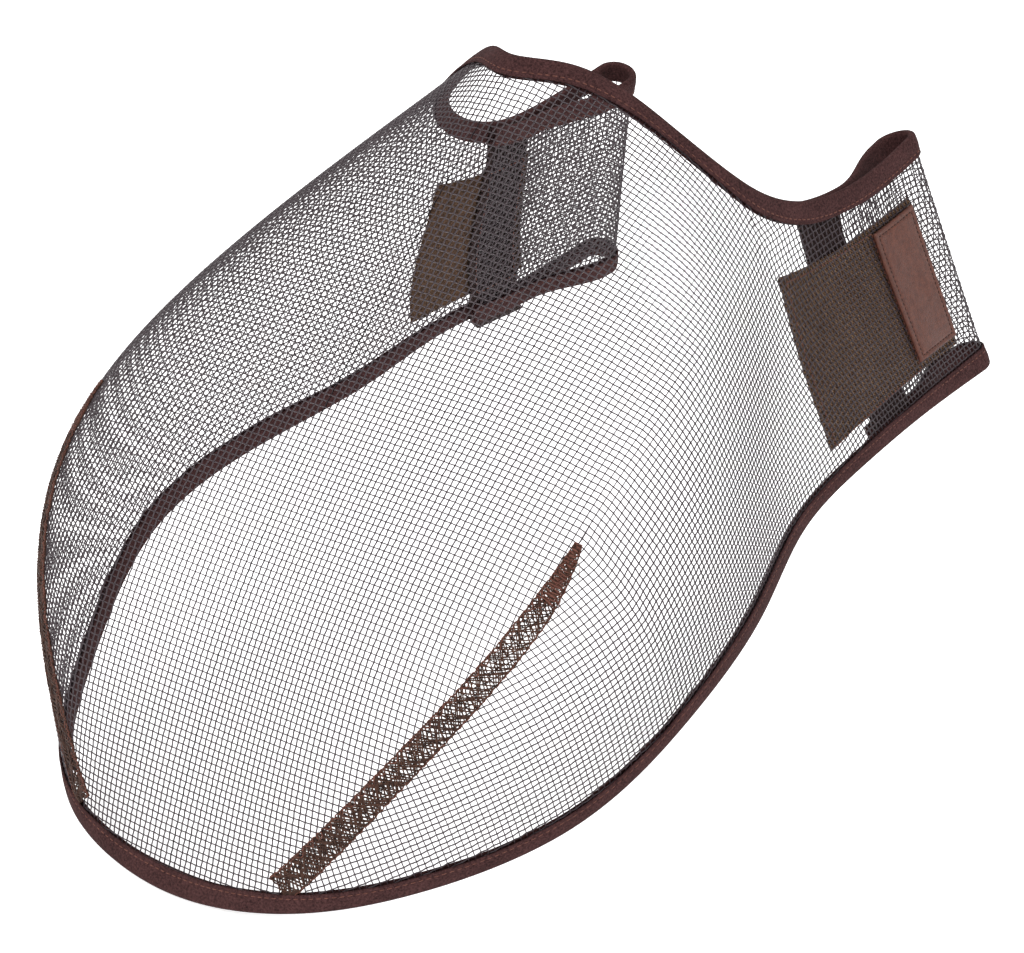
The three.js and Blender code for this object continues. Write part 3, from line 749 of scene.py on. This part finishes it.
def slab(name, place, long, wide, thick, material, side, rounding=0.5, steps=(60, 80), under=None):
    # a thin slab with rounded edges: two skins that close on a shared outline, by a quarter
    # circle of the distance from it
    a = np.linspace(0, 1, steps[0])[:, None]
    b = np.linspace(0, 1, steps[1])[None]
    a, b = [0.65 * x + 0.35 * (0.5 - 0.5 * np.cos(math.pi * x)) for x in (a, b)]
    inset = np.minimum(np.minimum(a, 1 - a) * long, np.minimum(b, 1 - b) * wide)
    full = np.sqrt(np.clip(1 - np.clip(1 - inset / rounding, 0, 1)**2, 0, 1))
    a, b = a + 0 * b, b + 0 * a
    top = place(a, b, thick / 2 + full * thick / 2)
    low = place(a, b, thick / 2 - full * thick / 2)
    m, n = steps
    quads = gridQuads(m, n)
    outer = np.concatenate([np.arange(n), np.arange(1, m) * n + n - 1,
                            (m - 1) * n + np.arange(n - 1), np.arange(1, m - 1) * n])
    joined = np.arange(2 * m * n)
    joined[outer + m * n] = outer
    points = np.concatenate([top.reshape(-1, 3), low.reshape(-1, 3)])
    every = joined[np.concatenate([quads, quads[:, ::-1] + m * n])]
    uv = np.tile(np.stack([a * long, b * wide], -1).reshape(-1, 2), (2, 1))
    points = points if side == "left" else mirrorX(points)
    piece = makeMesh(name, points, every, material, uv=uv, flip=side == "left")
    if under is not None:
        piece.data.materials.append(under)
        piece.data.polygons.foreach_set("material_index", np.repeat([0, 1], len(quads)).astype(np.int32))
    return piece


def onBand(distance, v, t):  # a point of the band, measured forward from the fold
    return clothPoint(9 - distance / stationLength(np.clip(v, 0, 1)), v, t)


band = {"height": 116.0, "netSurface": 0.75}  # height of the band, and how far the net's face is from its middle
patch = {"leftRear": 11.0, "rightRear": 50.0, "front": 122.0, "top": 0.2, "bottom": 0.84, "thick": 1.6,
         "fuzz": 0.12, "stitchInset": 2.0, "pitch": 2.6}
label = {"rear": 14.0, "front": 44.0, "top": 0.222, "bottom": 0.79, "thick": 1.7, "rounding": 0.8,
         "stitchInset": 2.5, "pitch": 2.3, "groove": 0.35, "swell": 0.25, "sunk": 0.2}


def loopPatch(side):
    # a slab under the band, its faces raised by a product of two sines
    rear, tall = patch[side + "Rear"], patch["bottom"] - patch["top"]
    long, wide = patch["front"] - rear, tall * band["height"]

    def place(a, b, t):
        fuzz = patch["fuzz"] * np.sin(a * long * 2.1) * np.sin(b * wide * 2.1)
        return onBand(rear + a * long, patch["top"] + b * tall, t + fuzz - band["netSurface"] - patch["thick"])

    return slab(side + "LoopPatch", place, long, wide, patch["thick"], finish["loopBack"], side,
                steps=(90, 90), under=finish["loopPile"])


def rectangleStitches(name, rear, shape, height, material, side, surface=onBand, flip=False):
    # stitches on a walk round a rectangle of the band or the flap
    x0, x1 = rear + shape["stitchInset"], shape["front"] - shape["stitchInset"]
    y0 = shape["top"] * band["height"] + shape["stitchInset"]
    y1 = shape["bottom"] * band["height"] - shape["stitchInset"]
    corner = np.array([[x0, y0], [x1, y0], [x1, y1], [x0, y1], [x0, y0]])
    run = runAlong(corner)
    count = int(run[-1] / shape["pitch"])

    def place(s, w, t):
        d = s * run[-1] / count
        k = np.clip(np.searchsorted(run, d[:, 2:3, :1], side="right") - 1, 0, 3)[:, 0, 0]
        start, way = corner[k], unit(corner[k + 1] - corner[k])
        left = (d - run[k][:, None, None])[..., None]
        across = np.stack([-way[:, 1], way[:, 0]], -1)
        xy = start[:, None, None] + way[:, None, None] * left + across[:, None, None] * w[..., None]
        return surface(xy[..., 0], xy[..., 1] / band["height"], height + t)

    return stitches(name, place, count, 0.62, material, side, 0.5, 0.4, flip=flip)


for side in ("left", "right"):
    pieces[side + "LoopPatch"] = loopPatch(side)
    rear = label["front"] - patch["stitchInset"] if side == "left" else patch["rightRear"]
    pieces[side + "PatchStitch"] = rectangleStitches(side + "PatchStitch", rear, patch, band["netSurface"],
                                                     finish["thread"], side)


def leatherLabel():
    # a slab on the band, swelling towards its middle, with a groove where it is stitched
    long, tall = label["front"] - label["rear"], label["bottom"] - label["top"]
    wide = tall * band["height"]

    def place(a, b, t):
        near = np.minimum(np.minimum(a, 1 - a) * long, np.minimum(b, 1 - b) * wide)
        groove = label["groove"] * np.exp(-((near - label["stitchInset"]) / 0.7)**2)
        swell = label["swell"] * np.clip(near / 9, 0, 1)
        height = band["netSurface"] + t + (swell - groove) * (t > label["thick"] / 2)
        return onBand(label["rear"] + a * long, label["top"] + b * tall, height)

    return slab("leatherLabel", place, long, wide, label["thick"], finish["leather"], "left",
                label["rounding"], (80, 140))


pieces["leatherLabel"] = leatherLabel()
pieces["labelStitch"] = rectangleStitches("labelStitch", label["rear"], label,
                                          band["netSurface"] + label["thick"] - label["sunk"],
                                          finish["labelThread"], "left")

hook = {"width": 30.0, "long": 122.0, "thick": 1.6, "left": -0.6, "right": 6.0,  # left, right: past the flap
        "onNet": 0.7, "onTape": 1.9, "stepFrom": 10.5, "stepOver": 7.5, "front": cloth["flapLength"],
        "top": 0.155, "bottom": 0.845, "stitchInset": 3.0, "pitch": 2.8}


def hookStrip(side):
    # a slab that lies on the flap and steps over the binding at both ends
    wide = hook["width"]

    def place(a, b, t):
        g = 12 - 0.005 - (1 - a) * (wide / cloth["flapLength"] - 0.005)
        top, low = edgeHeight(g, 0.0), edgeHeight(g, 1.0)
        v = 1 / top + b * (1 + hook[side] / low - 1 / top)
        fromEdge = np.minimum(v * top, (1 - v) * low)
        off = smooth((fromEdge - hook["stepFrom"]) / hook["stepOver"])
        base = hook["onTape"] + (hook["onNet"] - hook["onTape"]) * off + 0.05 * np.sin(b * 150) * np.sin(a * 50)
        return clothPoint(g, v, -base - t)

    return slab(side + "HookStrip", place, wide, hook["long"], hook["thick"], finish["hook"], side, steps=(34, 120))


def onFlap(distance, v, t):  # a point of the flap, measured forward from the fold
    return clothPoint(11 + distance / cloth["flapLength"], v, t)


for side in ("left", "right"):
    pieces[side + "HookStrip"] = hookStrip(side)
    pieces[side + "HookStitch"] = rectangleStitches(side + "HookStitch", hook["front"] - hook["width"], hook, 0.8,
                                                    finish["thread"], side, onFlap, True)
print("patches, label and hook strips made")

dart = {"line": [(1.0, 0.965), (1.05, 0.948), (1.27, 0.89), (1.63, 0.77), (2.0, 0.65), (2.24, 0.52)],
        "bottomWidth": 12.0, "narrowing": 2.5, "taperFrom": 0.78, "taper": 0.7, "yarns": 14, "samples": 320,
        "length": 190.0, "swingLength": 21.0, "height": 0.75, "yarnRadius": 0.36, "edgeRadius": 0.28,
        "looseRadius": 0.14}


def dartPath(f):  # stations and heights at share f of the dart, on quartics fitted to its points
    line = np.array(dart["line"])
    run = runAlong(clothPatch(line[:, 0], line[:, 1])[0])
    fits = [np.polyfit(run / run[-1], line[:, k], 4) for k in (0, 1)]
    return np.stack([np.polyval(fit, f) for fit in fits], -1)


def besideDart(f, w, t):
    # a point w millimetres to the side of the dart line: the sideways step put in the cloth's
    # own coordinates through its two slopes
    uv, ahead = dartPath(f), dartPath(f + 0.003)
    p, pu, pv = clothPatch(uv[..., 0], uv[..., 1])
    along = unit(clothPatch(ahead[..., 0], ahead[..., 1])[0] - p)
    outward, _, _ = clothFrame(uv[..., 0], uv[..., 1])
    side = unit(np.cross(outward, along)) * w[..., None]
    aa, ab, bb = (pu * pu).sum(-1), (pu * pv).sum(-1), (pv * pv).sum(-1)
    sa, sb = (side * pu).sum(-1), (side * pv).sum(-1)
    det = aa * bb - ab * ab
    return clothPoint(uv[..., 0] + (sa * bb - sb * ab) / det, uv[..., 1] + (sb * aa - sa * ab) / det, t)


def dartHalf(f):  # half the width of the sewn band, closing to a point at the tip
    taper = np.clip((f - dart["taperFrom"]) / (1 - dart["taperFrom"]), 0, 1)
    return (dart["bottomWidth"] - dart["narrowing"] * f) / 2 * (1 - dart["taper"] * taper * taper)


def yarnPiece(name, f, w, t, radius, material, side):  # closed tubes along rows of dart points
    points = besideDart(f, w, t)
    p, q = tubes(points, unit(besideDart(f, w, t + 1) - points), np.ones(f.shape, bool), radius)
    rings = np.arange(len(p)).reshape(*f.shape, 4)
    q = np.concatenate([q, rings[:, 0, ::-1], rings[:, -1]])
    return makeMesh(name, p if side == "left" else mirrorX(p), q, material, flip=side == "right")


def latticeYarns(name, count, side, seed):
    # overlocking yarns: triangle waves across the band at even offsets, flattened where they turn
    r = np.random.default_rng(seed)
    f = np.linspace(0, 1, dart["samples"])[None] + np.zeros((count, 1))
    phase = (np.arange(count)[:, None] + r.uniform(-0.3, 0.3, (count, 1))) / count
    turns = f * dart["length"] / dart["swingLength"] + phase + 0.03 * np.sin(f * 70 + 20 * phase)
    swing = np.clip(1.25 * (1 - 4 * np.abs(turns % 1 - 0.5)), -1, 1)
    w = dartHalf(f) * swing * (1 - 0.1 * r.uniform(size=(count, 1)))
    t = dart["height"] + 0.3 * np.sin(2 * math.pi * turns * 3 + 6 * phase)
    return yarnPiece(name, f, w, t, dart["yarnRadius"], finish["dart"], side)


def edgeYarns(name, side, seed):
    # reddish yarns down the seam's rear edge and over its tip, and a few loose ends
    r = np.random.default_rng(seed)
    f = np.linspace(0, 1, dart["samples"])[None] + np.zeros((6, 1))
    f[3:] = 0.86 + 0.14 * f[3:]
    run = f * dart["length"]
    place = np.array([0.93, 0.8, -0.95, 0.3, -0.2, 0.0])[:, None]
    size = np.array([0.07, 0.2, 0.05, 0.7, 0.7, 0.6])[:, None]
    beat = np.array([3.1, 6.7, 4.3, 2.1, 2.7, 1.7])[:, None]
    w = dartHalf(f) * (place + size * np.sin(2 * math.pi * run / beat + 0.8 * np.sin(run / 5)))
    loose = np.linspace(0, 1, dart["samples"])[None] + np.zeros((5, 1))
    start = r.uniform(0.84, 0.99, (5, 1))
    f = np.concatenate([f, start - 0.02 * loose + 0.01 * np.sin(loose * 4)])
    out = (-3 - 4 * r.uniform(size=(5, 1))) * loose * [[1], [-1], [-1], [1], [-1]]
    w = np.concatenate([w, -dartHalf(start) * 0.6 + out])
    t = 1.0 + 0.35 * np.cos(f * 900)
    t[6:] = 1.0 + 1.2 * loose
    radius = np.repeat([dart["edgeRadius"], dart["looseRadius"]], [6, 5])[:, None] + 0 * f
    return yarnPiece(name, f, w, t, radius, finish["thread"], side)


for side in ("left", "right"):
    pieces[side + "EyeDart"] = latticeYarns(side + "EyeDart", dart["yarns"], side, 3)
    pieces[side + "DartStitch"] = edgeYarns(side + "DartStitch", side, 5)
print("eye darts made")

oddNames = {"leftNetHalf": "net_body", "rightNetHalf": None, "browStitch": "brow_binding_stitch",
            "noseStitch": "nose_binding_stitch"}


def nodeFor(name):  # the frame's name for a piece: small letters with underscores
    return oddNames.get(name, re.sub("([A-Z])", r"_\1", name).lower())


def settle(name, piece):
    # folds are baked in place and ride on no body, all else rides on one body: the flap's or the mask's
    turn, flap = (-1, "right_flap") if name.startswith("right") else (1, "left_flap")
    if "Fold" in name:
        centre = clothPoint(9.0, 0.5, -cloth["foldRadius"])
        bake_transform(piece)
    else:
        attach(piece, flap if "Flap" in name or "Hook" in name else "mask")
    if nodeFor(name):
        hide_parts(nodeFor(name))


for name, piece in pieces.items():
    settle(name, piece)

sewnOn = ("LoopPatch", "PatchStitch", "EyeDart", "DartStitch")
for side in ("left", "right"):
    going = [pieces[side + word] for word in sewnOn]
    if side == "left":
        going += [pieces[name] for name in ("browBinding", "browStitch", "noseBinding", "noseStitch")]

studio = {"azimuth": 40.0, "elevation": 23.4, "distance": 1.5, "aside": -0.011, "lens": 121.29, "floorSize": 12.0,
          "floorGap": 0.0005, "world": 0.95, "lights": {  # place, size in metres and power in watts
              "keyLight": ((0.2, -2.0, 1.6), 1.4, 24),
              "fillLight": ((2.2, -0.6, 1.4), 1.6, 13),
              "topLight": ((0.0, 0.2, 2.6), 2.4, 20)}}


def makeFloor():  # a pale glowing plane just under the mask
    material, tree, shader = newMaterial("paleFloor", 0.9, 0.1)
    half = studio["floorSize"] * 500
    z = (cadBox[0][2] - studio["floorGap"]) * 1000
    corners = np.array([[-half, -half, z], [half, -half, z], [half, half, z], [-half, half, z]])
    makeMesh("paleFloor", corners, np.array([[0, 1, 2, 3]]), material)
    where = tree.nodes.new("ShaderNodeTexCoord").outputs["Object"]
    mottle = addNode(tree, "ShaderNodeTexNoise", Scale=3.0, Vector=where)
    shade = mixColour(tree, mottle.outputs[0], (0.93, 0.93, 0.935, 1), (0.95, 0.95, 0.955, 1))
    tree.links.new(shade, shader.inputs["Base Color"])
    shader.inputs["Emission Color"].default_value = (1, 1, 1, 1)
    shader.inputs["Emission Strength"].default_value = 0.55


def addLight(name, place, size, power):  # a square light aimed at the origin
    data = bpy.data.lights.new(name, "AREA")
    data.shape, data.size, data.energy = "SQUARE", size, power
    light = bpy.data.objects.new(name, data)
    bpy.context.scene.collection.objects.link(light)
    light.location = place
    x, y, z = place
    light.rotation_euler = (math.acos(z / math.hypot(x, y, z)), 0, math.atan2(y, x) + math.pi / 2)


def setWorld(strength):  # plain white all round
    world = bpy.data.worlds.new("studio")
    bpy.context.scene.world = world
    world.use_nodes = True
    background = world.node_tree.nodes["Background"]
    background.inputs["Color"].default_value = (1, 1, 1, 1)
    background.inputs["Strength"].default_value = strength
    bpy.context.scene.view_settings.view_transform = "Standard"


def setCamera():  # it looks level with the origin from azimuth and elevation, a little to one side
    a, e = math.radians(studio["azimuth"]), math.radians(studio["elevation"])
    right = np.array([math.cos(a), math.sin(a), 0])
    back = np.array([math.sin(a) * math.cos(e), -math.cos(a) * math.cos(e), math.sin(e)])
    camera = bpy.data.objects.new("camera", bpy.data.cameras.new("camera"))
    bpy.context.scene.collection.objects.link(camera)
    bpy.context.scene.camera = camera
    camera.data.lens, camera.data.sensor_width = studio["lens"], 36
    camera.location = back * studio["distance"] + right * studio["aside"]
    camera.rotation_euler = (math.pi / 2 - e, 0, a)


makeFloor()
for name, (place, size, power) in studio["lights"].items():
    addLight(name, place, size, power)
setWorld(studio["world"])
setCamera()
print("floor, lights and camera set")
